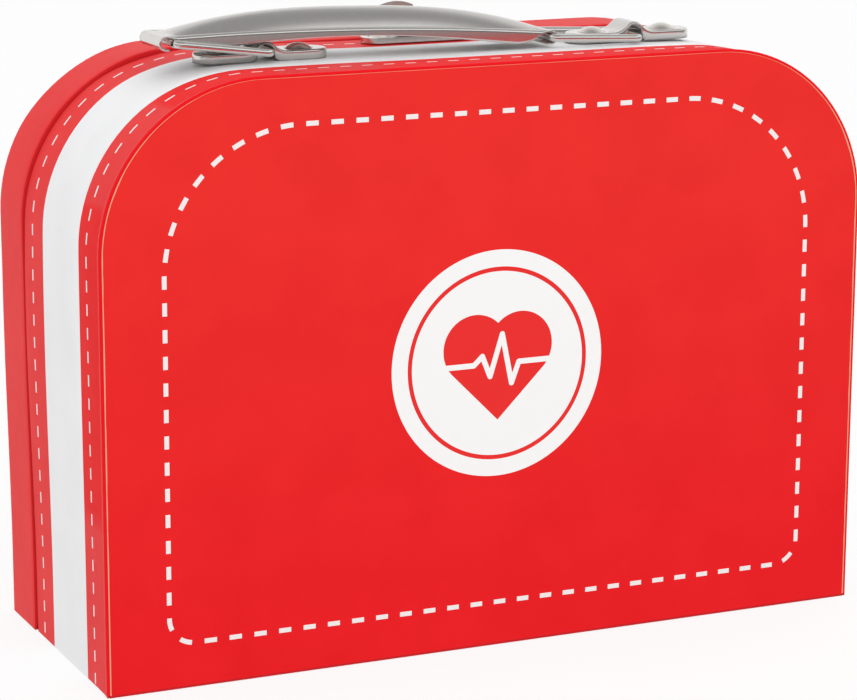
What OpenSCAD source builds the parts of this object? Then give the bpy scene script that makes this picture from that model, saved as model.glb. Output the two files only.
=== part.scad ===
// Toy doctor case: a cardboard case with a hinged lid, a steel handle on wire loops and a hasp clasp.
// Millimetres. X to the right, Y from the front face to the back, Z up, origin under the middle.

/* [Case] */
// Width of the tray over its paper
case_w = 250; // [200:1:320]
// Height of the tray over its paper
case_h = 180; // [140:1:240]
// Depth of the tray, from the front face to the seam
tray_depth = 69.7; // [62:0.1:110]
// Depth of the lid, from the seam to the back face
lid_depth = 23.3; // [20:0.1:50]
// Radius of the two round top corners
corner_r = 50; // [30:1:60]
// Radius of the two bottom corners
foot_r = 2; // [1:0.5:6]
// Gap between tray and lid at the seam
seam_gap = 0.4; // [0.2:0.1:1]
// How far the lid's sides stand out past the tray's
lid_proud = 1.5; // [1:0.1:2.5]
// How far the lid's top stands over the tray's
lid_rise = 0.5; // [0.4:0.1:1.5]

/* [Board and paper] */
// Thickness of the board
board_t = 2.0; // [1.4:0.1:3]
// Thickness of the neck's board
neck_t = 1.2; // [0.8:0.1:1.6]
// Thickness of the paper wraps, sheets and linings
paper_t = 0.3; // [0.2:0.05:0.5]
// How far the neck reaches under the lid
neck_len = 5; // [2:0.5:8]
// Width of the wrap that shows round the front and back sheets
edge_reveal = 1.8; // [1:0.1:4]
// Width of each leaf of the hinge cloth
cloth_w = 13; // [8:1:18]

/* [Handle] */
// Distance from the side of the case to a bracket's middle
bracket_inset = 63.5; // [62:0.5:70]
// Distance of the handle's middle line from the front face
handle_y = 36.2; // [30:0.1:40]
// Offset of both brackets from the case's middle
handle_shift = -0.6; // [-2:0.1:2]
// Length of a bracket
bracket_len = 42; // [38:0.5:48]
// Width of a bracket
bracket_w = 11.6; // [10:0.1:12]
// Height of a bracket's pads
bracket_h = 3.0; // [2.6:0.1:3.6]
// Sheet thickness of the brackets
bracket_t = 0.6; // [0.4:0.1:0.8]
// Inner radius of the hump over a loop
tunnel_r = 2.9; // [2.8:0.1:3.4]
// Height of the hump's inside over the paper
tunnel_h = 5.5; // [5:0.1:6]
// Radius of the hollow sweep from the hump down to the pads
bracket_sweep = 6; // [4:0.5:7]
// Radius of the mouth in a bracket's edge, where a loop goes through
mouth_r = 2.65; // [2.3:0.05:2.7]
// Distance between the two rivets of a bracket
rivet_pitch = 24.6; // [23:0.1:28]
// Diameter of the loops' wire
wire_d = 2.4; // [2:0.1:2.8]
// Length of a loop, between the middles of its crossbars
loop_len = 30.2; // [28:0.1:34]
// Bend radius of a loop's corners, at the wire's middle
loop_bend_r = 2; // [1.6:0.1:3]
// Width of the grip
grip_w = 17.4; // [15:0.1:20]
// Height of the grip's crown over its hems' middles
grip_crown = 9.6; // [7:0.1:12]
// Height of the grip's shoulders over its hems' middles
grip_shoulder = 4.0; // [3:0.1:5]
// Depth of the side lobes under the hems' middles
grip_lobe = 1.9; // [1:0.1:2.5]
// Sheet thickness of the grip
grip_t = 0.5; // [0.4:0.05:0.7]
// Play between wire and hem, all round
hem_play = 0.45; // [0.3:0.05:0.6]
// How far the left loop's crossbar has slid in from the end of its hem
hem_slide = 2.65; // [0:0.05:2.8]
// Play between the loops' legs and the grip's sides
leg_play = 0.3; // [0.2:0.05:0.8]

/* [Clasp] */
// Distance from the clasp's pin forward of the tray's rear edge
clasp_setback = 9.7; // [8:0.1:12]
// Length of the clasp's base
clasp_len = 38; // [32:0.5:46]
// Width of the clasp's base
clasp_w = 10; // [9:0.1:11]
// Height of the clasp's base
clasp_h = 1.7; // [1.5:0.1:2.2]
// Distance between the clasp base's rivets
clasp_rivet_pitch = 26.6; // [24:0.1:34]
// Radius of the clasp's pin
pin_r = 0.95; // [0.7:0.05:1.2]
// Width of the hasp
hasp_w = 12; // [10:0.5:16]
// Sheet thickness of the hasp
hasp_t = 0.7; // [0.5:0.05:1]
// Height of the finger tab's tip over the tray's top
tab_h = 10.2; // [8:0.1:14]
// Thickness of the catch plate on the lid
catch_t = 0.8; // [0.6:0.05:1]

/* [Hidden] */
$fn = 96;
over = 1;

case_depth = tray_depth + seam_gap + lid_depth;
seam_y = tray_depth + seam_gap;
neck_y = tray_depth + neck_len;
bottom_top = paper_t + board_t;
lid_corner_r = corner_r + (lid_proud + lid_rise) / 2;
lining_in = paper_t + board_t;
clasp_y = tray_depth - clasp_setback;
bracket_gap = case_w - 2 * bracket_inset;
neck_foot = bottom_top + 0.9;
neck_start = clasp_y - 8;
cloth_margin = 4;

shank_r = 1.5;
shank_play = 0.05;
washer_r = 4;
washer_t = 0.6;
washer_gap = 0.12;
washer_z = -2 * paper_t - board_t - washer_gap;
neck_washer_z = -paper_t - board_t - neck_t - washer_gap;
tail_r = 2.4;
tail_h = 0.6;
bracket_head_r = 4.2;
bracket_head_h = 2.0;
dish_r = 4.5;
dish_depth = 0.4;
clasp_head_r = 3.1;
clasp_head_h = 1.1;
clasp_dish_r = 3.4;
clasp_dish_depth = 0.5;
catch_head_r = 2.0;
catch_head_h = 0.8;
catch_shank_r = 1.0;

left_rise = 7.7;
right_rise = 2.8;
grip_fall = 1.95;
grip_len = bracket_gap + 2;
grip_way = [cos(grip_fall), -sin(grip_fall)];
left_pivot = [handle_shift - bracket_gap / 2 + 0.2, case_h + 3.1];
left_bar = left_pivot + loop_len * [-cos(left_rise), sin(left_rise)];
right_hem = left_bar + (grip_len - hem_slide) * grip_way;
left_hem = right_hem - grip_len * grip_way;
right_pivot = right_hem + loop_len * [cos(right_rise), -sin(right_rise)];
wire_r = wire_d / 2;
hem_in = wire_r + hem_play;
hem_out = hem_in + grip_t;
leg_y = grip_w / 2 + leg_play + wire_r;

pin_z = clasp_h + 1.9;
knuckle_r = pin_r + 0.7;
pin_play = 0.05;
hasp_z = clasp_h + 1.3;
tab_y = 17.0;
window = [6.4, 4.6];
window_y = 10.7;
nib = [5.2, 2.4, hasp_z + hasp_t + 1 - lid_rise];
nib_y = window_y + 1.6;
catch_plan = [15, 15.5];
catch_y = 11.5;
catch_rivet_y = 22.2;
catch_rivet_pitch = 8.4;

paper_red = "#DC2A2B";
paper_white = "#EDEDED";
board_tan = "#B9A88E";
nickel = "#C4C1BA";
nickel_warm = "#BDB09A";

// Moves what is drawn from the front face to the frame's origin
module placed() {
    translate([0, -case_depth / 2, 0]) children();
}

// A flat shape in X and Z, given a depth from y0 to y1
module slab(y0, y1) {
    translate([0, y1, 0]) rotate([90, 0, 0]) linear_extrude(y1 - y0) children();
}

// The case's face: round corners at the top, small ones at the foot
module face(w, h, r, foot) {
    translate([-w / 2, foot]) square([w, h - r - foot]);
    translate([r - w / 2, h - r - over]) square([w - 2 * r, r + over]);
    translate([foot - w / 2, 0]) square([w - 2 * foot, h - r]);
    for (side = [-1, 1]) {
        translate([side * (w / 2 - r), h - r]) circle(r);
        if (foot > 0) translate([side * (w / 2 - foot), foot]) circle(foot);
    }
}

module tray_face(inset) {
    translate([0, inset])
        face(case_w - 2 * inset, case_h - 2 * inset, corner_r - inset, max(foot_r - inset, 0));
}

module lid_face(inset) {
    translate([0, inset])
        face(case_w + 2 * lid_proud - 2 * inset, case_h + lid_rise - 2 * inset,
            lid_corner_r - inset, max(foot_r - inset, 0));
}

// Everything under height z between y0 and y1, to cut the open foot of a bent strip
module below(z, y0, y1) {
    translate([-case_w, y0, -over]) cube([2 * case_w, y1 - y0, z + over]);
}

function bracket_x(side) = side * bracket_gap / 2 + handle_shift;

module at_bracket_rivets() {
    for (side = [-1, 1], end = [-1, 1])
        translate([bracket_x(side) + end * rivet_pitch / 2, handle_y, case_h]) children();
}

module at_clasp_rivets() {
    for (end = [-1, 1]) translate([end * clasp_rivet_pitch / 2, clasp_y, case_h]) children();
}

module at_catch_rivets() {
    for (end = [-1, 1])
        translate([end * catch_rivet_pitch / 2, clasp_y + catch_rivet_y, case_h + lid_rise]) children();
}

module tray_rivet_holes() {
    depth = paper_t * 2 + board_t + neck_t + 2 * over;
    at_bracket_rivets() translate([0, 0, over - depth]) cylinder(r = shank_r + shank_play, h = depth);
    at_clasp_rivets() translate([0, 0, over - depth]) cylinder(r = shank_r + shank_play, h = depth);
}

module catch_rivet_holes() {
    depth = paper_t * 2 + board_t + 2 * over;
    at_catch_rivets() translate([0, 0, over - depth])
        cylinder(r = catch_shank_r + shank_play, h = depth);
}

// A round rivet: domed head on a seat, shank, and a clinched tail under the washer
module rivet(seat_z, head_r, head_h, shank, tail_z, tail) {
    rim = 0.4;
    cap = head_h - rim;
    ball = (head_r * head_r + cap * cap) / (2 * cap);
    translate([0, 0, seat_z]) cylinder(r = head_r, h = rim);
    intersection() {
        translate([0, 0, seat_z + rim + cap - ball]) sphere(ball, $fn = 128);
        translate([0, 0, seat_z + rim / 2]) cylinder(r = head_r, h = head_h);
    }
    translate([0, 0, tail_z]) cylinder(r = shank, h = seat_z - tail_z + rim / 2);
    translate([0, 0, tail_z - tail_h]) cylinder(r = tail, h = tail_h);
}

module washer(hole_r, top_z) {
    translate([0, 0, top_z - washer_t]) difference() {
        cylinder(r = hole_r + washer_r - shank_r, h = washer_t);
        translate([0, 0, -over]) cylinder(r = hole_r + shank_play, h = washer_t + 2 * over);
    }
}

// Front board, inside the wrap
module front_panel() {
    color(board_tan) placed() slab(paper_t, paper_t + board_t) tray_face(paper_t);
}

// Printed sheet glued on the front
module front_sheet() {
    color(paper_red) placed() slab(0, paper_t) tray_face(edge_reveal);
}

// Board strip bent round the left side, the top and the right side
module tray_wall() {
    color(board_tan) placed() difference() {
        slab(paper_t + board_t, tray_depth - paper_t) tray_face(paper_t);
        slab(board_t, tray_depth) tray_face(paper_t + board_t);
        below(bottom_top, 0, tray_depth);
        tray_rivet_holes();
    }
}

// Thinner strip glued inside the wall, which reaches under the lid and keeps it in place
module tray_neck() {
    color(paper_white) placed() difference() {
        slab(neck_start, neck_y) tray_face(paper_t + board_t);
        slab(neck_start - over, neck_y + over) tray_face(paper_t + board_t + neck_t);
        below(neck_foot, neck_start - over, neck_y + over);
        tray_rivet_holes();
    }
}

module tray_bottom() {
    color(board_tan) placed() intersection() {
        slab(paper_t + board_t, tray_depth) tray_face(paper_t);
        below(bottom_top, 0, tray_depth + over);
    }
}

// Printed paper round the tray, turned in over the front board and over the wall's rear edge
module tray_wrap() {
    rear = tray_depth - paper_t;
    color(paper_red) placed() difference() {
        slab(0, tray_depth) tray_face(0);
        slab(paper_t, rear) tray_face(paper_t);
        slab(-over, paper_t + over) tray_face(edge_reveal);
        slab(rear - over, tray_depth + over) tray_face(paper_t + board_t);
        below(paper_t, -over, tray_depth + over);
        below(bottom_top, rear, tray_depth + over);
        tray_rivet_holes();
    }
}

module tray_base_paper() {
    color(paper_red) placed() intersection() {
        slab(0, tray_depth) tray_face(0);
        below(paper_t, -over, tray_depth + over);
    }
}

// White paper inside the tray: the floor, the front board, and the walls up to the neck
module tray_lining() {
    color(paper_white) placed() difference() {
        slab(paper_t + board_t, tray_depth) tray_face(lining_in);
        slab(2 * paper_t + board_t, tray_depth + over) tray_face(lining_in + paper_t);
        translate([-case_w, neck_start, bottom_top + paper_t]) cube([2 * case_w, case_depth, 2 * case_h]);
        tray_rivet_holes();
    }
}

// Inner leaf of the hinge cloth on the tray's floor
module tray_hinge_cloth() {
    color("firebrick") placed()
        translate([cloth_margin - case_w / 2, tray_depth - cloth_w, bottom_top + paper_t])
            cube([case_w - 2 * cloth_margin, cloth_w, paper_t]);
}

// Plan of a bracket or of the clasp's base: a strap with round ends
module strap_plan(length, width, inset) {
    w = width - 2 * inset;
    straight = length - width;
    translate([-straight / 2, -w / 2]) square([straight, w]);
    for (end = [-1, 1]) translate([end * straight / 2, 0]) circle(w / 2);
}

// Side view of a bracket, filled to the paper: flat pads that sweep up to the hump. A depth
// takes off that much all along the top.
module bracket_side(depth) {
    centre = tunnel_h - tunnel_r;
    out_r = tunnel_r + bracket_t;
    rise = bracket_h + bracket_sweep - centre;
    foot_x = sqrt(pow(out_r + bracket_sweep, 2) - rise * rise);
    top_r = out_r - depth;
    pad_z = bracket_h - depth;
    touch = [foot_x, rise] * top_r / (out_r + bracket_sweep) + [0, centre];
    translate([-bracket_len, -over]) square([2 * bracket_len, pad_z + over]);
    translate([0, centre]) circle(top_r);
    for (side = [0, 1]) mirror([side, 0]) difference() {
        polygon([[0, 0], [foot_x, 0], [foot_x, pad_z], touch, [0, touch[1]]]);
        translate([foot_x, bracket_h + bracket_sweep]) circle(bracket_sweep + depth);
    }
}

// Opening in a bracket's edge, flared at the foot like a bell
module bracket_mouth() {
    wide = 1.85 * mouth_r;
    translate([0, mouth_r]) circle(mouth_r);
    translate([-mouth_r, -2 * over]) square([2 * mouth_r, mouth_r + 2 * over]);
    difference() {
        translate([-wide, -2 * over]) square([2 * wide, mouth_r / 2 + 2 * over]);
        for (side = [-1, 1]) translate([side * wide, mouth_r]) circle(mouth_r);
    }
}

// Pressed strap: a sheet that sweeps over the loop, with a rim turned down all round
module bracket(side) {
    floor_z = bracket_h - dish_depth;
    roof = tunnel_h + 2 * bracket_t;
    translate([bracket_x(side), handle_y, case_h]) difference() {
        union() {
            intersection() {
                slab(-bracket_w, bracket_w) difference() {
                    bracket_side(0);
                    bracket_side(bracket_t);
                }
                linear_extrude(roof) strap_plan(bracket_len, bracket_w, 0);
            }
            intersection() {
                slab(-bracket_w, bracket_w) difference() {
                    bracket_side(bracket_t / 2);
                    bracket_mouth();
                }
                linear_extrude(roof) difference() {
                    strap_plan(bracket_len, bracket_w, 0);
                    strap_plan(bracket_len, bracket_w, bracket_t);
                }
            }
            for (end = [-1, 1]) translate([end * rivet_pitch / 2, 0, floor_z - bracket_t])
                cylinder(r = dish_r + bracket_t / 2, h = dish_depth + bracket_t / 2);
        }
        for (end = [-1, 1]) translate([end * rivet_pitch / 2, 0, 0]) {
            translate([0, 0, floor_z]) cylinder(r = dish_r, h = dish_depth + over);
            cylinder(r = shank_r + shank_play, h = bracket_h);
        }
    }
}

module left_bracket() {
    color(nickel) placed() bracket(-1);
}

module right_bracket() {
    color(nickel) placed() bracket(1);
}

module bracket_rivets() {
    color(nickel_warm) placed() at_bracket_rivets()
        rivet(bracket_h - dish_depth, bracket_head_r, bracket_head_h, shank_r,
            washer_z - washer_t, tail_r);
}

// Washers under the tray's top, one to each rivet
module tray_washers() {
    color(nickel) placed() {
        at_bracket_rivets() washer(shank_r, washer_z);
        at_clasp_rivets() washer(shank_r, neck_washer_z);
    }
}

// Riveted strap with two ears for the clasp's pin
module clasp_base() {
    ear_t = 0.8;
    ear_x = hasp_w / 2 + 1.2;
    floor_z = clasp_h - clasp_dish_depth;
    color(nickel) placed() translate([0, clasp_y, case_h]) difference() {
        union() {
            difference() {
                linear_extrude(clasp_h) strap_plan(clasp_len, clasp_w, 0);
                translate([0, 0, -over]) linear_extrude(clasp_h - bracket_t + over)
                    strap_plan(clasp_len, clasp_w, bracket_t);
            }
            for (side = [-1, 1]) translate([side * ear_x - (side < 0 ? ear_t : 0), 0, 0])
                rotate([90, 0, 90]) linear_extrude(ear_t) {
                    translate([0, pin_z]) circle(knuckle_r);
                    translate([-knuckle_r, clasp_h - bracket_t])
                        square([2 * knuckle_r, pin_z - clasp_h + bracket_t]);
                }
            for (end = [-1, 1]) translate([end * clasp_rivet_pitch / 2, 0, floor_z - bracket_t])
                cylinder(r = clasp_dish_r + bracket_t / 2, h = clasp_dish_depth + bracket_t / 2);
        }
        translate([-clasp_len, 0, pin_z]) rotate([0, 90, 0])
            cylinder(r = pin_r + pin_play, h = 2 * clasp_len);
        for (end = [-1, 1]) translate([end * clasp_rivet_pitch / 2, 0, 0]) {
            translate([0, 0, floor_z]) cylinder(r = clasp_dish_r, h = clasp_dish_depth + over);
            translate([0, 0, -over]) cylinder(r = shank_r + shank_play, h = clasp_h + over);
        }
    }
}

module clasp_rivets() {
    color(nickel_warm) placed() at_clasp_rivets()
        rivet(clasp_h - clasp_dish_depth, clasp_head_r, clasp_head_h, shank_r,
            neck_washer_z - washer_t, tail_r);
}

module clasp_pin() {
    reach = hasp_w / 2 + 2.3;
    color(nickel) placed() translate([-reach, clasp_y, case_h + pin_z]) rotate([0, 90, 0]) {
        cylinder(r = pin_r, h = 2 * reach);
        translate([0, 0, -0.4]) cylinder(r = pin_r + 0.5, h = 0.4);
        translate([0, 0, 2 * reach]) cylinder(r = pin_r + 0.5, h = 0.4);
    }
}

// Hasp: knuckle on the pin, slotted plate over the seam, and a finger tab that stands up
module clasp_hasp() {
    curl_r = 1.5;
    half = hasp_w / 2;
    tip_r = 14;
    color(nickel) placed() translate([0, clasp_y, case_h]) difference() {
        union() {
            translate([-half - 0.9, 0, pin_z]) rotate([0, 90, 0])
                cylinder(r = knuckle_r, h = hasp_w + 1.8);
            translate([-half, 0, hasp_z]) cube([hasp_w, tab_y - curl_r, hasp_t]);
            intersection() {
                translate([-half, tab_y - curl_r, hasp_z + hasp_t + curl_r]) rotate([0, 90, 0])
                    difference() {
                        cylinder(r = curl_r + hasp_t, h = hasp_w);
                        translate([0, 0, -over]) cylinder(r = curl_r, h = hasp_w + 2 * over);
                    }
                translate([-half, tab_y - curl_r, hasp_z])
                    cube([hasp_w, curl_r + hasp_t, curl_r + hasp_t]);
            }
            intersection() {
                translate([-half, tab_y, hasp_z + hasp_t + curl_r])
                    cube([hasp_w, hasp_t, tab_h - hasp_z - hasp_t - curl_r]);
                translate([0, tab_y - over, tab_h - tip_r]) rotate([-90, 0, 0])
                    cylinder(r = tip_r, h = hasp_t + 2 * over);
            }
        }
        translate([-clasp_len, 0, pin_z]) rotate([0, 90, 0])
            cylinder(r = pin_r + pin_play, h = 2 * clasp_len);
        translate([-window[0] / 2, window_y, hasp_z - over])
            cube([window[0], window[1], hasp_t + 2 * over]);
    }
}

module lid_panel() {
    color(board_tan) placed()
        slab(case_depth - paper_t - board_t, case_depth - paper_t) lid_face(paper_t);
}

module lid_wall() {
    color(board_tan) placed() difference() {
        slab(seam_y + paper_t, case_depth - paper_t - board_t) lid_face(paper_t);
        slab(seam_y, case_depth) lid_face(paper_t + board_t);
        below(bottom_top, 0, case_depth);
        catch_rivet_holes();
    }
}

module lid_bottom() {
    color(board_tan) placed() intersection() {
        slab(seam_y + paper_t, case_depth - paper_t - board_t) lid_face(paper_t);
        below(bottom_top, 0, case_depth);
    }
}

// Printed paper round the lid, turned in at its open edge and round its back board
module lid_wrap() {
    color(paper_red) placed() difference() {
        slab(seam_y, case_depth) lid_face(0);
        slab(seam_y + paper_t, case_depth - paper_t) lid_face(paper_t);
        slab(seam_y - over, seam_y + paper_t + over) lid_face(paper_t + board_t);
        slab(case_depth - paper_t - over, case_depth + over) lid_face(edge_reveal);
        below(paper_t, 0, case_depth + over);
        catch_rivet_holes();
    }
}

module lid_base_paper() {
    color(paper_red) placed() intersection() {
        slab(seam_y, case_depth) lid_face(0);
        below(paper_t, 0, case_depth + over);
    }
}

module lid_back_sheet() {
    color(paper_red) placed() slab(case_depth - paper_t, case_depth) lid_face(edge_reveal);
}

// White paper inside the lid, behind the tray's neck
module lid_lining() {
    start = neck_y + 0.8;
    back = case_depth - paper_t - board_t;
    color(paper_white) placed() difference() {
        slab(start, back) lid_face(lining_in);
        slab(start - over, back - paper_t) lid_face(lining_in + paper_t);
        below(bottom_top, 0, case_depth);
        catch_rivet_holes();
    }
}

// Inner leaf of the hinge cloth on the lid's floor
module lid_hinge_cloth() {
    color("firebrick") placed() translate([cloth_margin - case_w / 2, seam_y, bottom_top])
        cube([case_w - 2 * cloth_margin, neck_len + 0.3, paper_t]);
}

// Plate on the lid with the nib that the hasp's window drops over
module catch_plate() {
    round_r = 2;
    color(nickel) placed() translate([0, clasp_y, case_h + lid_rise]) difference() {
        union() {
            linear_extrude(catch_t) {
                translate([-catch_plan[0] / 2, catch_y]) square([catch_plan[0], catch_plan[1] - round_r]);
                translate([round_r - catch_plan[0] / 2, catch_y])
                    square([catch_plan[0] - 2 * round_r, catch_plan[1]]);
                for (side = [-1, 1])
                    translate([side * (catch_plan[0] / 2 - round_r), catch_y + catch_plan[1] - round_r])
                        circle(round_r);
            }
            intersection() {
                translate([-nib[0] / 2, nib_y, 0]) cube([nib[0], nib[1], nib[2]]);
                translate([0, nib_y - over, nib[2] - nib[0] / 2 - 0.4]) rotate([-90, 0, 0])
                    cylinder(r = nib[0] / 2 + 0.4, h = nib[1] + 2 * over);
            }
        }
        for (end = [-1, 1]) translate([end * catch_rivet_pitch / 2, catch_rivet_y, -over])
            cylinder(r = catch_shank_r + shank_play, h = catch_t + 2 * over);
    }
}

module catch_rivets() {
    color(nickel_warm) placed() at_catch_rivets()
        rivet(catch_t, catch_head_r, catch_head_h, catch_shank_r,
            washer_z - washer_t, catch_shank_r + 0.7);
}

module lid_washers() {
    color(nickel) placed() at_catch_rivets() washer(catch_shank_r, washer_z);
}

// Wire bent to a closed rectangle: inner crossbar at the origin, outer one at -X
module wire_loop() {
    side_y = leg_y - loop_bend_r;
    side_x = loop_len - 2 * loop_bend_r;
    for (x = [0, -loop_len]) translate([x, -side_y, 0]) rotate([-90, 0, 0])
        cylinder(r = wire_r, h = 2 * side_y);
    for (side = [-1, 1]) translate([-loop_bend_r, side * leg_y, 0]) rotate([0, -90, 0])
        cylinder(r = wire_r, h = side_x);
    for (corner = [[-loop_bend_r, side_y, 0], [loop_bend_r - loop_len, side_y, 90],
            [loop_bend_r - loop_len, -side_y, 180], [-loop_bend_r, -side_y, 270]])
        translate([corner[0], corner[1], 0]) rotate([0, 0, corner[2]]) rotate_extrude(angle = 90)
            translate([loop_bend_r, 0]) circle(wire_r);
}

module left_loop() {
    color(nickel) placed() translate([left_pivot[0], handle_y, left_pivot[1]])
        rotate([0, left_rise, 0]) wire_loop();
}

module right_loop() {
    color(nickel) placed() translate([right_pivot[0], handle_y, right_pivot[1]])
        rotate([0, right_rise, 0]) wire_loop();
}

// The grip's heights at x, with 0 at the left hem, 1 in reach(x) at either hem
lobe_x = 12;
lobe_start = 4.6;
bead_start = 3.4;
grip_waist = 1.5;
bead_r = 0.95;
groove = 0.35;
dome_steps = 8;
end_steps = [0.2, 1.5, 2.6, 3.4, 4.1, 4.6, 4.75, 5.1, 5.8, 6.9, 8.3, 10, 12];
middle_steps = [0.06, 0.14, 0.24, 0.36, 0.5, 0.66, 0.83, 1];
function reach(x) = abs(2 * x / grip_len - 1);
function from_hem(x) = min(x, grip_len - x);
function crown_z(x) = hem_out + (grip_crown - hem_out) * (1 - pow(reach(x), 2.6));
function shoulder_z(x) = hem_out - 0.1 + (grip_shoulder - hem_out + 0.1) * (1 - pow(reach(x), 2));
function bead(x) = grip_t + 0.15
    + (bead_r - grip_t - 0.15)
    * max(0, min(1, (from_hem(x) - bead_start) / (lobe_start - bead_start)));
function lobe_curve(d) = sqrt(max(0, 1 - pow((lobe_x - d) / (lobe_x - lobe_start), 2)));
function edge_z(x) = let(d = from_hem(x), top = shoulder_z(x) - bead(x) - 0.1)
    d < lobe_start ? top : d < lobe_x ? top - (top + grip_lobe) * lobe_curve(d)
        : -grip_lobe + (grip_waist + grip_lobe) * sin(90 * (d - lobe_x) / (grip_len / 2 - lobe_x));

// Half of the grip's cross-section at x, from the flange's lower edge to the crown
function half_section(x, inset) = let(
        half = grip_w / 2 - inset,
        top = shoulder_z(x) - inset,
        r = bead(x) - inset,
        dome = grip_w / 2 - 2 * bead_r,
        low = shoulder_z(x) - inset - groove * (1 - pow(reach(x), 4)))
    concat([[half, edge_z(x)]],
        [for (a = [0 : 30 : 90]) [half - r + r * cos(a), top - r + r * sin(a)]],
        [for (i = [dome_steps : -1 : 0]) let(y = dome * i / dome_steps)
            [y, low + (crown_z(x) - inset - low) * (1 - pow(i / dome_steps, 2.2))]]);
function mirrored(half) = [for (i = [len(half) - 2 : -1 : 0]) [-half[i][0], half[i][1]]];
function section(x, inset) = let(half = half_section(x, inset)) concat(half, mirrored(half));

half_stations = concat(end_steps, [for (k = middle_steps) lobe_x + k * (grip_len / 2 - lobe_x)]);
stations = concat(half_stations,
    [for (i = [len(half_stations) - 2 : -1 : 0]) grip_len - half_stations[i]]);
side_points = len(section(0, 0));
ring = 2 * side_points;
last = (len(stations) - 1) * ring;
function quad(a, b, c, d) = [[c, b, a], [d, c, a]];
grip_points = [for (x = stations) let(skin = section(x, 0), core = section(x, grip_t))
    for (i = [0 : ring - 1]) let(p = i < side_points ? skin[i] : core[ring - 1 - i]) [x, p[0], p[1]]];
grip_faces = concat(
    [for (i = [0 : len(stations) - 2], j = [0 : ring - 1]) let(k = (j + 1) % ring)
        each quad(i * ring + j, i * ring + k, (i + 1) * ring + k, (i + 1) * ring + j)],
    [for (j = [0 : side_points - 2]) let(far = ring - 1 - j) each quad(far, far - 1, j + 1, j)],
    [for (j = [0 : side_points - 2]) let(far = ring - 1 - j)
        each quad(last + j, last + j + 1, last + far - 1, last + far)]);

module grip_body() {
    polyhedron(grip_points, grip_faces);
}

// One end of the grip: a strip that curls under the loop's crossbar, with room for it to slide
module hem() {
    lip = 1.1;
    slab(-grip_w / 2, grip_w / 2) difference() {
        union() {
            circle(hem_out);
            translate([0, -hem_out]) square([lip, 2 * hem_out]);
        }
        circle(hem_in);
        translate([0, -hem_in]) square([2 * hem_out, 2 * hem_in]);
    }
}

module handle_grip() {
    color(nickel) placed() translate([left_hem[0], handle_y, left_hem[1]])
        rotate([0, grip_fall, 0]) {
            grip_body();
            hem();
            translate([grip_len, 0, 0]) mirror([1, 0, 0]) hem();
        }
}

front_panel();
front_sheet();
tray_wall();
tray_neck();
tray_bottom();
tray_wrap();
tray_base_paper();
tray_lining();
tray_hinge_cloth();
left_bracket();
right_bracket();
bracket_rivets();
tray_washers();
clasp_base();
clasp_rivets();
clasp_pin();
clasp_hasp();
lid_panel();
lid_wall();
lid_bottom();
lid_wrap();
lid_base_paper();
lid_back_sheet();
lid_lining();
lid_hinge_cloth();
catch_plate();
catch_rivets();
lid_washers();
left_loop();
handle_grip();
right_loop();
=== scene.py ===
import math

import bmesh
import bpy
from mathutils import Matrix, Vector


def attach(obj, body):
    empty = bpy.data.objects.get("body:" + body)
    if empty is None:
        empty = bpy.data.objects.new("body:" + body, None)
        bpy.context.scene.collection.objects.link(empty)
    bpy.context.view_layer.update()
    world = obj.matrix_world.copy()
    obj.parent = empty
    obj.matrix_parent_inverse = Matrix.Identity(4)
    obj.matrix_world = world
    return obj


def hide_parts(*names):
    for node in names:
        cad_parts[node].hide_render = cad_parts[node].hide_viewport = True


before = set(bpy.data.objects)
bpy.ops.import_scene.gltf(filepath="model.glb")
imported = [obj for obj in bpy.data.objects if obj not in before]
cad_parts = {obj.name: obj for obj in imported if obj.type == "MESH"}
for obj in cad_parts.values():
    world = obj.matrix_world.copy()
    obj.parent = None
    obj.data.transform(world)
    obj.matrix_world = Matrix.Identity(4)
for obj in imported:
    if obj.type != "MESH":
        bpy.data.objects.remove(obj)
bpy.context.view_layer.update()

# Camera
# The photograph looks at the case from the left and a little above, from about a metre away,
# so the front, the left side and the top all show.
scene = bpy.context.scene
image_width = 857
focal_pixels = 3140.7
yaw, pitch, roll = math.radians(24.33), math.radians(13.02), math.radians(-0.207)
look = Vector((math.sin(yaw) * math.cos(pitch), math.cos(yaw) * math.cos(pitch), -math.sin(pitch)))
level_right = Vector((math.cos(yaw), -math.sin(yaw), 0))
level_down = look.cross(level_right)
camera_right = math.cos(roll) * level_right + math.sin(roll) * level_down
camera_up = math.sin(roll) * level_right - math.cos(roll) * level_down
lens_data = bpy.data.cameras.new("photo_camera")
lens_data.sensor_width = 36
lens_data.lens = focal_pixels * lens_data.sensor_width / image_width
lens_data.clip_end = 20
camera = bpy.data.objects.new("photo_camera", lens_data)
camera.matrix_world = Matrix.Translation((-0.39917, -0.87865, 0.30649)) @ Matrix(
    (camera_right, camera_up, -look)).transposed().to_4x4()
scene.collection.objects.link(camera)
scene.camera = camera
scene.view_settings.view_transform = "Standard"

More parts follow.
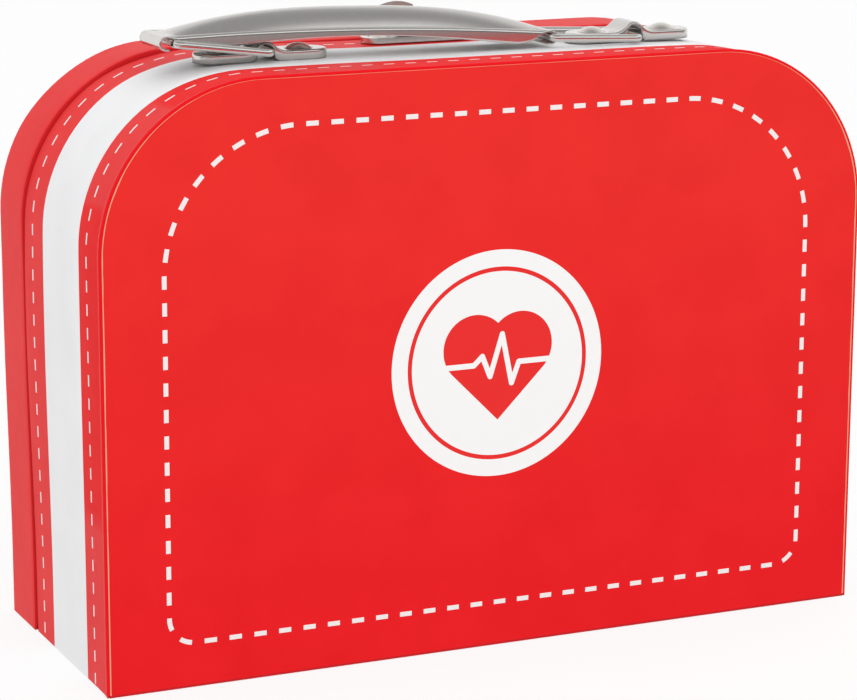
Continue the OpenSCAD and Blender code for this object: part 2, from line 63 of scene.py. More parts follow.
# Studio
# A white room: a soft key lamp in front to the left, a weaker one above, and a pale floor
# that lets the part of an opened lid below it show through.
class Value:
    """A number or colour in a material, so that node graphs are written as plain sums."""

    def __init__(self, tree, socket):
        self.tree = tree
        self.socket = socket

    def math(self, operation, *others, clamp=False):
        node = self.tree.nodes.new("ShaderNodeMath")
        node.operation = operation
        node.use_clamp = clamp
        for slot, value in zip(node.inputs, (self, *others)):
            put(self.tree, slot, value)
        return Value(self.tree, node.outputs[0])

    def __add__(self, other):
        return self.math("ADD", other)

    def __sub__(self, other):
        return self.math("SUBTRACT", other)

    def __rsub__(self, other):
        return (self * -1) + other

    def __mul__(self, other):
        return self.math("MULTIPLY", other)

    def __truediv__(self, other):
        return self.math("DIVIDE", other)

    def __lt__(self, other):
        return self.math("LESS_THAN", other)

    def __gt__(self, other):
        return self.math("GREATER_THAN", other)

    __radd__ = __add__
    __rmul__ = __mul__

    def abs(self):
        return self.math("ABSOLUTE")

    def low(self, other):
        return self.math("MINIMUM", other)

    def high(self, other):
        return self.math("MAXIMUM", other)

    def soft_step(self, start, end):
        return ((self - start) / (end - start)).math("SMOOTH_MIN", 1, 0.0001).high(0)


def put(tree, slot, value):
    if isinstance(value, Value):
        tree.links.new(value.socket, slot)
    else:
        slot.default_value = value


world = bpy.data.worlds.new("white_room")
world.use_nodes = True
scene.world = world
tree = world.node_tree
tree.nodes.clear()
rays = tree.nodes.new("ShaderNodeLightPath")
direction = tree.nodes.new("ShaderNodeTexCoord")
split = tree.nodes.new("ShaderNodeSeparateXYZ")
tree.links.new(direction.outputs["Generated"], split.inputs[0])
height = Value(tree, split.outputs["Z"])
side = Value(tree, split.outputs["X"])
depth = Value(tree, split.outputs["Y"])
seen_white = Value(tree, rays.outputs["Is Camera Ray"])
mirrored = Value(tree, rays.outputs["Is Glossy Ray"])
room = 0.9 + 0.1 * height - 0.04 * side
backdrop = 1.0 - 0.2 * height.soft_step(0.3, 0.75) - 0.42 * height.soft_step(0.75, 0.97)
near_side = 0.7 - 0.52 * height.soft_step(-0.35, -0.1) + 1.15 * height.soft_step(0.25, 0.4)
near_side = near_side - 0.95 * height.soft_step(0.55, 0.75)
behind = depth.soft_step(-0.2, 0.2)
mirror_room = behind * backdrop + (1 - behind) * near_side
level = seen_white + (1 - seen_white) * (mirrored * mirror_room + (1 - mirrored) * room)
background = tree.nodes.new("ShaderNodeBackground")
background.inputs["Color"].default_value = (1, 1, 1, 1)
put(tree, background.inputs["Strength"], level)
world_out = tree.nodes.new("ShaderNodeOutputWorld")
tree.links.new(background.outputs[0], world_out.inputs["Surface"])


def lamp(name, size, place, target, watts, shape="RECTANGLE"):
    data = bpy.data.lights.new(name, "AREA")
    data.shape = shape
    data.size, data.size_y = size
    data.energy = watts
    lit = bpy.data.objects.new(name, data)
    lit.location = place
    lit.rotation_euler = (Vector(target) - Vector(place)).to_track_quat("-Z", "Y").to_euler()
    lit.visible_glossy = False
    scene.collection.objects.link(lit)


lamp("key", (1.4, 1.0), (-0.35, -1.2, 0.95), (0, 0, 0.1), 5.0)
lamp("top_light", (1.4, 0.9), (0.3, -0.8, 0.9), (0, 0, 0.15), 1.0)

floor_mesh = bmesh.new()
bmesh.ops.create_grid(floor_mesh, x_segments=1, y_segments=1, size=2.5,
                      matrix=Matrix.Translation((0, 0, -0.0002)))
floor_data = bpy.data.meshes.new("floor")
floor_mesh.to_mesh(floor_data)
floor = bpy.data.objects.new("floor", floor_data)
scene.collection.objects.link(floor)
floor_paint = bpy.data.materials.new("floor_paint")
floor_paint.use_nodes = True
tree = floor_paint.node_tree
tree.nodes.clear()
matt = tree.nodes.new("ShaderNodeBsdfDiffuse")
matt.inputs["Color"].default_value = (0.9, 0.9, 0.9, 1)
clear = tree.nodes.new("ShaderNodeBsdfTransparent")
either = tree.nodes.new("ShaderNodeMixShader")
either.inputs[0].default_value = 0.85
tree.links.new(matt.outputs[0], either.inputs[1])
tree.links.new(clear.outputs[0], either.inputs[2])
floor_out = tree.nodes.new("ShaderNodeOutputMaterial")
tree.links.new(either.outputs[0], floor_out.inputs["Surface"])
floor_data.materials.append(floor_paint)

# Board
# The case is cut and bent from grey-tan rigid paper board, two millimetres thick in the tray.
# Its cut edges show a fine felted grain.
class Finish:
    """One finish: a shader, and the surface's own place in millimetres."""

    def __init__(self, name, **settings):
        self.material = bpy.data.materials.new(name)
        self.material.use_nodes = True
        self.tree = self.material.node_tree
        self.shader = self.tree.nodes["Principled BSDF"]
        for socket, value in settings.items():
            self.shader.inputs[socket.replace("_", " ")].default_value = value
        place = self.tree.nodes.new("ShaderNodeTexCoord")
        self.place = place.outputs["Object"]
        scaled = self.tree.nodes.new("ShaderNodeVectorMath")
        scaled.operation = "SCALE"
        scaled.inputs["Scale"].default_value = 1000
        self.tree.links.new(self.place, scaled.inputs[0])
        parts = self.tree.nodes.new("ShaderNodeSeparateXYZ")
        self.tree.links.new(scaled.outputs[0], parts.inputs[0])
        self.x, self.y, self.z = (Value(self.tree, parts.outputs[axis]) for axis in "XYZ")
        self.millimetres = scaled.outputs[0]

    def noise(self, per_mm, detail=2.0, stretch=(1, 1, 1)):
        """Noise from 0 to 1 with that many grains to a millimetre."""
        mapping = self.tree.nodes.new("ShaderNodeMapping")
        mapping.inputs["Scale"].default_value = [per_mm * s for s in stretch]
        self.tree.links.new(self.millimetres, mapping.inputs["Vector"])
        node = self.tree.nodes.new("ShaderNodeTexNoise")
        node.inputs["Scale"].default_value = 1
        node.inputs["Detail"].default_value = detail
        self.tree.links.new(mapping.outputs[0], node.inputs["Vector"])
        return Value(self.tree, node.outputs[0])

    def blend(self, amount, first, second):
        """The first colour where amount is 0, the second where it is 1."""
        node = self.tree.nodes.new("ShaderNodeMix")
        node.data_type = "RGBA"
        put(self.tree, node.inputs["Factor"], amount)
        for slot, colour in ((node.inputs["A"], first), (node.inputs["B"], second)):
            colour_slot = [s for s in node.inputs if s.name == slot.name and s.type == "RGBA"][0]
            put(self.tree, colour_slot, colour if isinstance(colour, Value) else (*colour, 1))
        return Value(self.tree, [s for s in node.outputs if s.type == "RGBA"][0])

    def colour(self, value):
        put(self.tree, self.shader.inputs["Base Color"], value)

    def roughness(self, value):
        put(self.tree, self.shader.inputs["Roughness"], value)

    def bump(self, relief, millimetres):
        """Raises the surface by relief times that many millimetres."""
        node = self.tree.nodes.new("ShaderNodeBump")
        node.inputs["Distance"].default_value = millimetres / 1000
        put(self.tree, node.inputs["Height"], relief)
        self.tree.links.new(node.outputs[0], self.shader.inputs["Normal"])


def dress(finish, *names):
    for name in names:
        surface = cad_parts[name].data
        surface.materials.clear()
        surface.materials.append(finish.material)


board = Finish("paper_board", Roughness=0.85)
fibre = board.noise(1.6, 5)
board.colour(board.blend(fibre, (0.36, 0.29, 0.2), (0.56, 0.47, 0.34)))
board.bump(board.noise(3, 4), 0.12)
dress(board, "tray_bottom")

# Printed colours
# Coated paper printed in red and white and glued round the boards. Red bands run along the front
# edge and the seam, with a white band between them and a row of white dashes in each red band.
tray_half, case_height, corner = 125.0, 180.0, 50.0
case_depth = 93.4
front_y = -case_depth / 2
red = (0.78, 0.026, 0.026)
# Painted shade: a darker red put on the lid's lip face and along the bottom's front edge, where shade
# falls.
red_painted_shade = (0.55, 0.012, 0.015)
red_edge = (0.76, 0.004, 0.010)
white = (0.83, 0.83, 0.84)
dash_white = (0.80, 0.76, 0.75)
cut_tan = (0.72, 0.33, 0.2)


def printed(name):
    """Glossy coated paper with a faint unevenness from the glue under it."""
    finish = Finish(name, Specular_IOR_Level=0.1)
    finish.roughness(0.45 + 0.1 * finish.noise(0.25, 3))
    finish.bump(finish.noise(0.035, 2) + 0.03 * finish.noise(0.9, 3), 0.25)
    return finish


def mottled(finish, first, second):
    """A print colour with the cloudiness of ink on paper."""
    return finish.blend(finish.noise(0.05, 4).soft_step(0.35, 0.65), first, second)


def dashes(distance, along, width, length, pitch, start):
    """1 on a dashed line, from the distance to the line and the way along it."""
    phase = ((along - start) / pitch).math("FRACT")
    centred = (phase - 0.5).abs() * pitch
    return (distance.abs() < width / 2).math("MULTIPLY", centred < length / 2)


def bands(finish, half, height, radius):
    """The wall's print: white band, and dashes along the arch in both red bands."""
    front = finish.y - front_y
    out = (finish.x.abs() - (half - radius)).high(0)
    up = (finish.z - (height - radius)).high(0)
    along = finish.x.abs().low(half - radius) + radius * out.math("ARCTAN2", up)
    along = (along + (height - radius - finish.z).high(0)) * finish.x.math("SIGN")
    ribbon = (front > 19.5) * (front < 52.0)
    stitches = dashes(front - 12.4, along, 1.0, 3.4, 6.96, 0.85)
    stitches = stitches + dashes(front - 61.6, along, 1.0, 3.4, 6.96, 1.95)
    ground = mottled(finish, red, (0.75, 0.020, 0.022))
    ground = finish.blend(front < 0.9, ground, red_edge)
    coloured = finish.blend(ribbon, ground, mottled(finish, white, (0.80, 0.80, 0.81)))
    finish.colour(finish.blend(stitches, coloured, dash_white))


tray_print = printed("tray_print")
bands(tray_print, tray_half, case_height, corner)
lid_print = printed("lid_print")
lid_ground = mottled(lid_print, red, (0.75, 0.024, 0.026))
# Painted shade: the face of the lid paper's lip at its open edge is painted dark red, standing in for the
# shade in the seam.
lid_print.colour(lid_print.blend(lid_print.y - front_y < 70.45, lid_ground, red_painted_shade))

# Tray paper
# The printed paper wraps the tray's wall, rounds the front edge and is turned in over the wall's
# rear edge. The wall bows out a little at its free rear edge, and the top has sunk slightly.
mm = 0.001
sheet = 0.3
turn_in = 0.9
edge_round = 0.5
foot = 0.4
flare = 0.5
solid_reveal = 1.8
inner_turn = 0.55
tray_rear = 69.7


def settle(name, mesh, body, finish, slot, *nodes, smooth=45):
    """Makes a finished mesh a piece of the object, in millimetres from the frame's origin."""
    bmesh.ops.scale(mesh, vec=(mm, mm, mm), verts=mesh.verts)
    data = bpy.data.meshes.new(name)
    mesh.to_mesh(data)
    mesh.free()
    data.materials.append(finish.material)
    if smooth:
        data.polygons.foreach_set("use_smooth", [True] * len(data.polygons))
        data.set_sharp_from_angle(angle=math.radians(smooth))
    piece = bpy.data.objects.new(name, data)
    scene.collection.objects.link(piece)
    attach(piece, body)
    if nodes:
        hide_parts(*nodes)
    return piece


def ease(value, start, end):
    """0 before start, 1 after end, and a smooth rise between."""
    share = max(0.0, min(1.0, (value - start) / (end - start)))
    return share * share * (3 - 2 * share)


def bulge(z):
    """Share of the wall's bow at a height: most a little above the middle of the sides."""
    return ease(z, 18, 100) * (1 - ease(z, 108, 172))


def sunk(x, front):
    """How far the tray's top has sunk under its nominal height."""
    left = 0.75 * math.exp(-((x + 86) / 13) ** 2)
    right = 1.0 * math.exp(-((x - 82) / 16) ** 2)
    middle = 0.4 * ease(x, -48, -15) * (1 - ease(x, 60, 95))
    return (left + right + middle) * min(1.0, max(0.0, front) / 45) ** 0.6


def tray_lean(x, z, front):
    """Outward shift of the tray's wall from the flat arch."""
    rear = max(0.0, min(1.0, (front - 12) / (tray_rear - 12))) ** 1.3
    lean = 1.3 * bulge(z) * rear + flare * (1 - ease(front, 0.4, 3.5))
    return lean - sunk(x, front) * ease(z, 140, 172)


def lid_lean(x, z, front):
    """Outward shift of the lid's wall from its flat arch."""
    back = ease(front, tray_rear, case_depth)
    low = -0.95 + 0.9 * bulge(z)
    high = -0.35 - 0.35 * back + 0.35 * math.exp(-((x + 88) / 16) ** 2)
    share = ease(z, 130, 174)
    hollow = 0.85 * ease(z, 112, 140) * (1 - ease(z, 150, 176))
    return min(0.0, low * (1 - share) + high * share + hollow)


def push(mesh, lean, half, height, radius):
    """Moves every point of a bent strip or a board outwards by its lean."""
    for v in mesh.verts:
        hub_x = max(radius - half, min(half - radius, v.co.x))
        hub_z = min(v.co.z, height - radius)
        away = Vector((v.co.x - hub_x, 0, v.co.z - hub_z))
        inside = half - radius - 5
        if abs(v.co.x) < inside and v.co.z < height / 2:
            away = Vector((0, 0, 0))
        if v.co.z < height - radius and abs(v.co.x) < half - radius:
            away = Vector((0, 0, 0))
        if away.length > 1:
            v.co += away.normalized() * lean(v.co.x, v.co.z, v.co.y - front_y)


def arch(profile, half, height, radius, foot_radius, lean):
    """A strip bent over the case's arch. The profile is a closed loop of (outward, from the front)."""
    mesh = bmesh.new()
    turn = math.acos((foot_radius - sheet) / foot_radius)
    verts = [mesh.verts.new((-half - out, front_y + front, foot_radius)) for out, front in profile]
    loop = [mesh.edges.new(pair) for pair in zip(verts, verts[1:] + verts[:1])]
    bmesh.ops.rotate(mesh, verts=verts, cent=(foot_radius - half, 0, foot_radius),
                     matrix=Matrix.Rotation(-turn, 3, "Y"))

    def swing(edges, x, z, angle, steps):
        done = bmesh.ops.spin(mesh, geom=edges, cent=(x, 0, z), axis=(0, 1, 0), angle=angle,
                              steps=steps, dvec=(0, 0, 0), use_duplicate=False)
        return [e for e in done["geom_last"] if isinstance(e, bmesh.types.BMEdge)]

    def run(edges, step, times):
        for _ in range(times):
            done = bmesh.ops.extrude_edge_only(mesh, edges=edges)["geom"]
            grown = [v for v in done if isinstance(v, bmesh.types.BMVert)]
            bmesh.ops.translate(mesh, vec=step, verts=grown)
            edges = [e for e in done if isinstance(e, bmesh.types.BMEdge) and not e.link_faces[1:]]
        return edges

    leg = height - radius - foot_radius
    flat = 2 * (half - radius)
    loop = swing(loop, foot_radius - half, foot_radius, turn, 4)
    loop = run(loop, (0, 0, leg / 16), 16)
    loop = swing(loop, radius - half, height - radius, math.pi / 2, 24)
    loop = run(loop, (flat / 30, 0, 0), 30)
    loop = swing(loop, half - radius, height - radius, math.pi / 2, 24)
    loop = run(loop, (0, 0, -leg / 16), 16)
    loop = swing(loop, half - foot_radius, foot_radius, turn, 4)
    bmesh.ops.remove_doubles(mesh, verts=mesh.verts, dist=0.0005)
    ends = [e for e in mesh.edges if e.is_boundary]
    bmesh.ops.holes_fill(mesh, edges=ends, sides=0)
    bmesh.ops.recalc_face_normals(mesh, faces=mesh.faces)
    push(mesh, lean, half, height, radius)
    return mesh


def follow(name, node, body, finish, slot, lean, half, height, radius, soften=0):
    """A copy of a board or lining, cut across at intervals so that it can bow with its wall."""
    mesh = bmesh.new()
    mesh.from_mesh(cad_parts[node].data)
    bmesh.ops.scale(mesh, vec=(1 / mm, 1 / mm, 1 / mm), verts=mesh.verts)
    bmesh.ops.remove_doubles(mesh, verts=mesh.verts, dist=0.0005)
    bmesh.ops.dissolve_limit(mesh, angle_limit=math.radians(0.5), verts=mesh.verts, edges=mesh.edges)
    cuts = [((0, 0, z), (0, 0, 1)) for z in range(12, 172, 12)]
    cuts += [((x, 0, 0), (1, 0, 0)) for x in range(-110, 111, 10)]
    cuts += [((0, front_y + front, 0), (0, 1, 0)) for front in range(14, 90, 14)]
    for place, way in cuts:
        bmesh.ops.bisect_plane(mesh, geom=mesh.verts[:] + mesh.edges[:] + mesh.faces[:],
                               plane_co=place, plane_no=way)
    if soften:
        rim = [e for e in mesh.edges if e.calc_face_angle(0) > 0.8
               and all(v.co.y < front_y + 0.5 for v in e.verts)]
        bmesh.ops.bevel(mesh, geom=rim, offset=soften, segments=4, profile=0.5, affect="EDGES", material=-1)
    push(mesh, lean, half, height, radius)
    bmesh.ops.recalc_face_normals(mesh, faces=mesh.faces)
    return settle(name, mesh, body, finish, slot, node, smooth=30)


tray_shape = (tray_half, case_height, corner)
bend = [math.pi * i / 12 for i in range(7)]
front_round = [(-turn_in, 0.0)]
front_round += [(edge_round * (math.sin(a) - 1), edge_round * (1 - math.cos(a))) for a in bend]
strip = [(0.0, 2.0 + i * (tray_rear - 3.0) / 24) for i in range(25)]
rear_turn = [(-0.18, tray_rear - 0.18), (-0.6, tray_rear), (-2.3, tray_rear), (-2.3, tray_rear - sheet)]
inner = [(-sheet, tray_rear - 0.6), (-sheet, 40.0), (-sheet, inner_turn), (-inner_turn, sheet)]
inner += [(-turn_in, sheet)]
tray_paper = arch(front_round + strip + rear_turn + inner, *tray_shape, foot, tray_lean)
settle("tray_paper", tray_paper, "tray", tray_print, "wrap_paper", "tray_wrap")
follow("tray_wall_board", "tray_wall", "tray", board, "board", tray_lean, *tray_shape)
neck_print = printed("neck_print")
neck_print.colour(mottled(neck_print, red, (0.75, 0.024, 0.026)))
follow("tray_neck_strip", "tray_neck", "tray", neck_print, "board", tray_lean, *tray_shape)
follow("front_board", "front_panel", "tray", board, "board", tray_lean, *tray_shape, soften=0.3)

base_print = printed("base_print")
# Painted shade: the bottom's front edge, where it turns under, is painted darker red.
bottom_edge_painted_shade = (base_print.y - front_y).soft_step(0.6, 2.5)
base_print.colour(base_print.blend(bottom_edge_painted_shade, red_painted_shade, red))
base = bmesh.new()
base_line = [(0.0, turn_in)]
base_line += [(edge_round * (1 - math.cos(a)), edge_round * (1 - math.sin(a))) for a in bend]
base_line += [(tray_rear, 0.0), (tray_rear, sheet), (inner_turn, sheet), (sheet, inner_turn)]
base_line += [(sheet, turn_in)]
base_start = [base.verts.new((foot - tray_half, front_y + front, up)) for front, up in base_line]
face = base.faces.new(base_start)
grown = bmesh.ops.extrude_face_region(base, geom=[face])["geom"]
far_end = [v for v in grown if isinstance(v, bmesh.types.BMVert)]
bmesh.ops.translate(base, vec=(2 * (tray_half - foot), 0, 0), verts=far_end)
bmesh.ops.recalc_face_normals(base, faces=base.faces)
settle("tray_base_sheet", base, "tray", base_print, "wrap_paper", "tray_base_paper")

# Front sheet
# One printed sheet glued on the front board: a dashed line follows the case's outline, and a white
# disc with a thin ring holds a plain heart with a pulse line. Its cut edge shows tan paper.
front_print = printed("front_print")
line_middle = 0.12
line_half, line_low, line_high = 106.1, 13.9, 165.95
line_low_radius, line_high_radius = 8.0, 43.0
dash_pitch, dash_length, dash_width = 7.872, 3.9, 1.45
across = (front_print.x - line_middle).abs()
upper = front_print.z > 90
radius = line_low_radius + upper * (line_high_radius - line_low_radius)
out = (across - (line_half - radius)).high(0)
beyond_low = (line_low + line_low_radius - front_print.z).high(0)
beyond_high = (front_print.z - (line_high - line_high_radius)).high(0)
from_line = out.math("POWER", 2) + (beyond_low + beyond_high).math("POWER", 2)
from_line = from_line.math("SQRT") - radius
low_run = line_half - line_low_radius
high_run = line_half - line_high_radius
along = (1 - upper) * (across.low(low_run) + line_low_radius * out.math("ARCTAN2", beyond_low))
along = along + (front_print.z - line_low - line_low_radius).high(0).low(
    line_high - line_high_radius - line_low - line_low_radius)
turned = low_run + line_low_radius * math.pi / 2
high_turn = turned + line_high_radius * beyond_high.math("ARCTAN2", out)
along = along + upper * (high_turn + (high_run - across.low(high_run)) * (beyond_high > 0))
signed = along * (front_print.x - line_middle).math("SIGN")
stitches = dashes(from_line, signed, dash_width, dash_length, dash_pitch, 1.15 - dash_pitch / 2)

disc_height = 89.1
disc_x = front_print.x
disc_z = front_print.z - disc_height
from_middle = (disc_x * disc_x + disc_z * disc_z).math("SQRT")
disc = from_middle < 35.0
ring = ((from_middle - 29.1).abs() < 0.68)
heart_half = 10.6
lean = math.sqrt(0.5)
heart_z = disc_z + 2.5
leaned_a = (disc_x + heart_z) * lean
leaned_b = (heart_z - disc_x) * lean
square = (leaned_a.abs().high(leaned_b.abs())) < heart_half
lobe_a = (leaned_a - heart_half).math("POWER", 2) + leaned_b.math("POWER", 2)
lobe_b = leaned_a.math("POWER", 2) + (leaned_b - heart_half).math("POWER", 2)
heart = square.high(lobe_a < heart_half ** 2).high(lobe_b < heart_half ** 2)
pulse_points = [(-22, 0), (-8, 0), (-5.2, 2.6), (-2.6, -3.8), (1.4, 9.0), (4.6, -6.4), (7.0, 0), (22, 0)]
pulse = None
for (x0, z0), (x1, z1) in zip(pulse_points, pulse_points[1:]):
    run_x, run_z = x1 - x0, z1 - z0
    length = math.hypot(run_x, run_z)
    way = ((disc_x - x0) * (run_x / length) + (disc_z - z0) * (run_z / length)).high(0).low(length)
    gap = (disc_x - x0 - way * (run_x / length)).math("POWER", 2)
    gap = (gap + (disc_z - z0 - way * (run_z / length)).math("POWER", 2)).math("SQRT")
    pulse = gap if pulse is None else pulse.low(gap)
heart = heart * (pulse > 0.85)

arch_out = (front_print.x.abs() - (tray_half - corner)).high(0)
arch_up = (front_print.z - (case_height - corner)).high(0)
to_edge = (corner - turn_in) - (arch_out * arch_out + arch_up * arch_up).math("SQRT")
side_share = 1 - (front_print.z - 150).high(0) / 30 * 0.75
raw_edge = to_edge + flare < (0.16 + 0.45 * front_print.noise(0.12, 3)) * side_share.high(0.2)
# Painted light and shade: the front's red is lighter towards the top and darker towards the bottom, as the
# light falls on it.
upper_red_painted_light = mottled(front_print, (0.78, 0.024, 0.020), (0.75, 0.021, 0.018))
lower_red_painted_shade = mottled(front_print, (0.77, 0.010, 0.014), (0.74, 0.008, 0.012))
ground = front_print.blend(front_print.z.soft_step(20, 150), lower_red_painted_shade, upper_red_painted_light)
face_colour = front_print.blend(stitches, ground, dash_white)
face_colour = front_print.blend(disc, face_colour, (0.85, 0.84, 0.83))
face_colour = front_print.blend(disc * ring.high(heart), face_colour, (0.76, 0.026, 0.024))
front_print.colour(front_print.blend(raw_edge, face_colour, cut_tan))

# The sheet reaches out nearly to the front edge
cover = bmesh.new()
cover.from_mesh(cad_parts["front_sheet"].data)
bmesh.ops.scale(cover, vec=(1 / mm, 1 / mm, 1 / mm), verts=cover.verts)
bmesh.ops.remove_doubles(cover, verts=cover.verts, dist=0.0005)
cover_grow = solid_reveal - turn_in
cover_shape = (size - solid_reveal for size in (tray_half, case_height, corner))
push(cover, lambda x, z, front: cover_grow + flare, *cover_shape)
for v in cover.verts:
    if v.co.z < solid_reveal + sheet:
        v.co.z -= cover_grow
bmesh.ops.recalc_face_normals(cover, faces=cover.faces)
settle("front_cover", cover, "tray", front_print, "front_print", "front_sheet", smooth=5)

# Lid papers and linings
# The lid is covered in plain red paper, turned in at its open edge. Both halves are lined with
# white paper, and a cloth strip inside joins them along the floor.
lid_proud, lid_rise = 1.5, 0.5
lid_shape = (tray_half + lid_proud, case_height + lid_rise, corner + (lid_proud + lid_rise) / 2)
lid_front, lid_back = 70.1, case_depth
lid_round = 1.2
lip = [(-2.3, lid_front + sheet), (-2.3, lid_front), (-0.6, lid_front), (-0.18, lid_front + 0.18)]
wall = [(0.0, lid_front + 0.6 + i * (lid_back - lid_front - 2) / 10) for i in range(11)]
back_turn = [(lid_round * (math.cos(a) - 1), lid_back - lid_round * (1 - math.sin(a))) for a in bend[1:]]
inside = [(-solid_reveal, lid_back), (-solid_reveal, lid_back - sheet), (-lid_round, lid_back - sheet),
          (-sheet, lid_back - lid_round), (-sheet, lid_front + 0.6)]
lid_paper = arch(lip + wall + back_turn + inside, *lid_shape, foot, lid_lean)
settle("lid_paper", lid_paper, "lid", lid_print, "wrap_paper", "lid_wrap")
follow("lid_wall_board", "lid_wall", "lid", board, "board", lid_lean, *lid_shape)
follow("lid_back_board", "lid_panel", "lid", board, "board", lid_lean, *lid_shape)
follow("lid_floor_board", "lid_bottom", "lid", board, "board", lid_lean, *lid_shape)
follow("lid_base_sheet", "lid_base_paper", "lid", lid_print, "wrap_paper", lid_lean, *lid_shape)
dress(lid_print, "lid_back_sheet")

lining = Finish("white_lining", Roughness=0.7)
lining.colour(lining.blend(lining.noise(0.4, 4), (0.78, 0.77, 0.74), (0.84, 0.83, 0.81)))
lining.bump(lining.noise(1.5, 3), 0.05)
dress(lining, "tray_lining", "lid_lining")

cloth = Finish("hinge_cloth", Roughness=0.9)
weave = ((cloth.x * 9).math("SINE") * (cloth.y * 9).math("SINE")) * 0.5 + 0.5
cloth.colour(cloth.blend(weave, (0.22, 0.015, 0.015), (0.42, 0.03, 0.03)))
cloth.bump(weave, 0.04)
dress(cloth, "tray_hinge_cloth", "lid_hinge_cloth")

# Brackets
# Each bracket is a strap pressed from thin steel and nickel plated: flat pads under two rivets, a
# hump over the loop's crossbar, and a rim turned down all round that lets the wire out.
def plated(name, tint, rough=0.14, relief=0.02):
    finish = Finish(name, Metallic=1.0)
    haze = finish.noise(0.5, 4)
    finish.colour(finish.blend(haze, tint, tuple(c * 0.92 for c in tint)))
    finish.roughness(rough + 0.08 * finish.noise(1.1, 3) + 0.05 * haze)
    finish.bump(finish.noise(0.3, 3), relief)
    return finish


sheet_metal = plated("nickel_sheet", (0.70, 0.68, 0.655))
rivet_metal = plated("rivet_metal", (0.76, 0.72, 0.67), 0.18, 0.004)
bracket_x = (-62.1, 60.9)
handle_front = 36.2
strap_length, strap_width = 42.0, 11.6
pad_height, hump_height, hump_radius, sweep = 3.0, 6.1, 3.5, 6.0
hump_middle = hump_height - hump_radius
sweep_start = math.sqrt((hump_radius + sweep) ** 2 - (pad_height + sweep - hump_middle) ** 2)
mouth = 2.65


def strap_top(x):
    """Height of a bracket's top at a distance from its middle."""
    x = abs(x)
    if x < sweep_start * hump_radius / (hump_radius + sweep):
        return hump_middle + math.sqrt(hump_radius ** 2 - x * x)
    if x < sweep_start:
        return pad_height + sweep - math.sqrt(sweep ** 2 - (sweep_start - x) ** 2)
    return pad_height


def mouth_top(x):
    """Height of the opening in the rim, nothing outside its flared foot."""
    x = abs(x)
    if x < mouth:
        return mouth + math.sqrt(mouth ** 2 - x * x)
    wide = 1.85 * mouth
    return 0.0 if x > wide else mouth - math.sqrt(mouth ** 2 - (wide - x) ** 2)


def thicken(piece, millimetres):
    shell = piece.modifiers.new("thickness", "SOLIDIFY")
    shell.thickness = millimetres * mm
    shell.offset = -1


def pressed_strap(middle_x, rivet_gap=24.6, fold=0.65, dish=0.4):
    mesh = bmesh.new()
    bmesh.ops.create_grid(mesh, x_segments=150, y_segments=32, size=1)
    cap = strap_width / 2
    straight = strap_length / 2 - cap
    for v in mesh.verts:
        x, b = v.co.x * strap_length / 2, math.sin(v.co.y * math.pi / 2)
        a = max(0.0, abs(x) - straight) / cap
        x = math.copysign(min(abs(x), straight) + cap * a * math.sqrt(1 - b * b / 2), x)
        y = cap * b * math.sqrt(1 - a * a / 2)
        inside = max(0.0, cap - math.hypot(max(0.0, abs(x) - straight), y))
        z = strap_top(x) - dish * (1 - ease(math.hypot(abs(x) - rivet_gap / 2, y), 4.1, 4.8))
        if inside < fold:
            z -= fold - math.sqrt(fold ** 2 - (fold - inside) ** 2)
        v.co = (x, y, z)
    rim = bmesh.ops.extrude_edge_only(mesh, edges=[e for e in mesh.edges if e.is_boundary])["geom"]
    for v in rim:
        if isinstance(v, bmesh.types.BMVert):
            ground = -sunk(v.co.x + middle_x, handle_front + v.co.y)
            v.co.z = min(v.co.z, max(ground, mouth_top(v.co.x)))
    bmesh.ops.recalc_face_normals(mesh, faces=mesh.faces)
    bmesh.ops.translate(mesh, vec=(middle_x, front_y + handle_front, case_height), verts=mesh.verts)
    return mesh


for name, middle in zip(("left_bracket", "right_bracket"), bracket_x):
    strap_piece = settle(name + "_strap", pressed_strap(middle), "tray",
                         sheet_metal, "nickel_sheet", name, smooth=60)
    thicken(strap_piece, 0.6)
dress(rivet_metal, "bracket_rivets", "tray_washers")

# Grip and loops
# The grip is pressed from one strip of steel: a crown with a rolled bead and a hollow line along
# each side, flanges with a lobe near the ends, and ends that curl round the wire loops.
wire_metal = plated("nickel_wire", (0.70, 0.68, 0.655), 0.12)
dress(wire_metal, "left_loop", "right_loop")
grip_length, grip_half = 125.0, 8.7
grip_fall = math.radians(1.95)
curl_outer = 2.15
right_curl = Vector((30.4515, front_y + handle_front, 182.9831))
left_curl = right_curl - grip_length * Vector((math.cos(grip_fall), 0, -math.sin(grip_fall)))
crown_height, shoulder_height, lobe_depth, waist = 9.6, 4.0, 1.9, 1.5
lobe_start, lobe_place = 4.6, 12.0
bead_radius, bead_outer = 1.1, 8.7


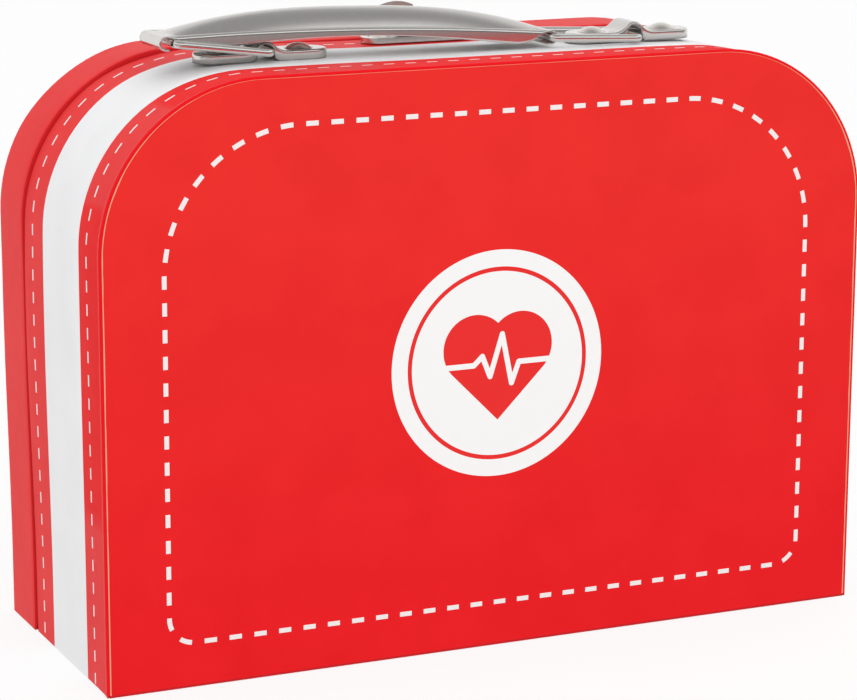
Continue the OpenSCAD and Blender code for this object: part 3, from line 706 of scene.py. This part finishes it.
def grip_section(x):
    """Half of the section at x, from the middle of the crown out and down to the flange's edge."""
    reach = abs(2 * x / grip_length - 1)
    near = min(x, grip_length - x)
    formed = ease(near, 0.2, 4.2)
    crown = curl_outer + (crown_height - curl_outer) * (1 - reach ** 2.6)
    top = curl_outer - 0.1 * formed + (shoulder_height - curl_outer + 0.1) * (1 - reach ** 2)
    r = 0.3 + (bead_radius - 0.3) * formed
    low = top - 0.9 * formed
    dome = bead_outer - 2 * r
    points = []
    for i in range(15):
        share = math.sin(math.pi / 2 * i / 14)
        points.append((dome * share, low + (crown - low) * (1 - share ** 2.2)))
    for i in range(1, 11):
        angle = math.radians(165 - 17.5 * i)
        points.append((bead_outer - r + r * math.cos(angle), top - r + r * math.sin(angle)))
    edge = top - 1.4 * r
    if near > lobe_place:
        share = math.sin(math.pi / 2 * (near - lobe_place) / (grip_length / 2 - lobe_place))
        edge = -lobe_depth + (waist + lobe_depth) * share
    elif near > lobe_start:
        share = (lobe_place - near) / (lobe_place - lobe_start)
        edge -= (edge + lobe_depth) * math.sqrt(1 - share ** 2)
    last_y, last_z = points[-1]
    points += [(last_y, last_z + (min(edge, last_z - 0.02) - last_z) * i / 4) for i in range(1, 5)]
    return points


def curl_row(angle_or_reach):
    """Place of the curled end's sheet: round the wire, then a short lip under it."""
    if angle_or_reach > 0:
        return (angle_or_reach, -curl_outer)
    return (curl_outer * math.sin(angle_or_reach), curl_outer * math.cos(angle_or_reach))


curl_steps = [1.1, 0.6] + [-math.pi * i / 14 for i in range(14, -1, -1)]
near_steps = [0.3 + 0.35 * i for i in range(34)]
middle_steps = [12.2 + (grip_length / 2 - 12.2) * i / 30 for i in range(31)]
half_rows = near_steps + middle_steps
body_rows = half_rows + [grip_length - x for x in reversed(half_rows[:-1])]
half_points = len(grip_section(0))
row_count = 2 * len(curl_steps) + len(body_rows)


def grip_place(row, column):
    """Place of a grid point of the grip, in the grip's own line from curl to curl."""
    side = 1 if column >= half_points - 1 else -1
    index = abs(column - half_points + 1)
    first = row - len(curl_steps)
    last = row - len(curl_steps) - len(body_rows)
    if first < 0 or last >= 0:
        x, z = curl_row(curl_steps[row] if first < 0 else curl_steps[-1 - last])
        x = x if first < 0 else grip_length - x
        return (x, side * grip_half * min(1.0, index / (half_points - 5)), z)
    y, z = grip_section(body_rows[first])[index]
    return (body_rows[first], side * y, z)


grip = bmesh.new()
columns = 2 * half_points - 1
bmesh.ops.create_grid(grip, x_segments=row_count - 1, y_segments=columns - 1, size=1)
for v in grip.verts:
    row = round((v.co.x + 1) / 2 * (row_count - 1))
    column = round((v.co.y + 1) / 2 * (columns - 1))
    v.co = grip_place(row, column)
bmesh.ops.remove_doubles(grip, verts=grip.verts, dist=0.002)
bmesh.ops.recalc_face_normals(grip, faces=grip.faces)
if sum(f.normal.z for f in grip.faces if f.calc_center_median().z > 3) < 0:
    bmesh.ops.reverse_faces(grip, faces=grip.faces)
bmesh.ops.rotate(grip, verts=grip.verts, cent=(0, 0, 0), matrix=Matrix.Rotation(grip_fall, 3, "Y"))
bmesh.ops.translate(grip, verts=grip.verts, vec=left_curl)
grip_piece = settle("pressed_grip", grip, "grip", sheet_metal, "nickel_sheet", "handle_grip", smooth=50)
thicken(grip_piece, 0.5)

# Clasp
# A riveted strap with two ears carries the hasp on a pin behind the grip. The hasp's window drops
# over a nib on the lid, and its tab stands up for a finger.
dress(sheet_metal, "clasp_base", "clasp_hasp", "catch_plate")
dress(wire_metal, "clasp_pin")
dress(rivet_metal, "clasp_rivets", "catch_rivets", "lid_washers")
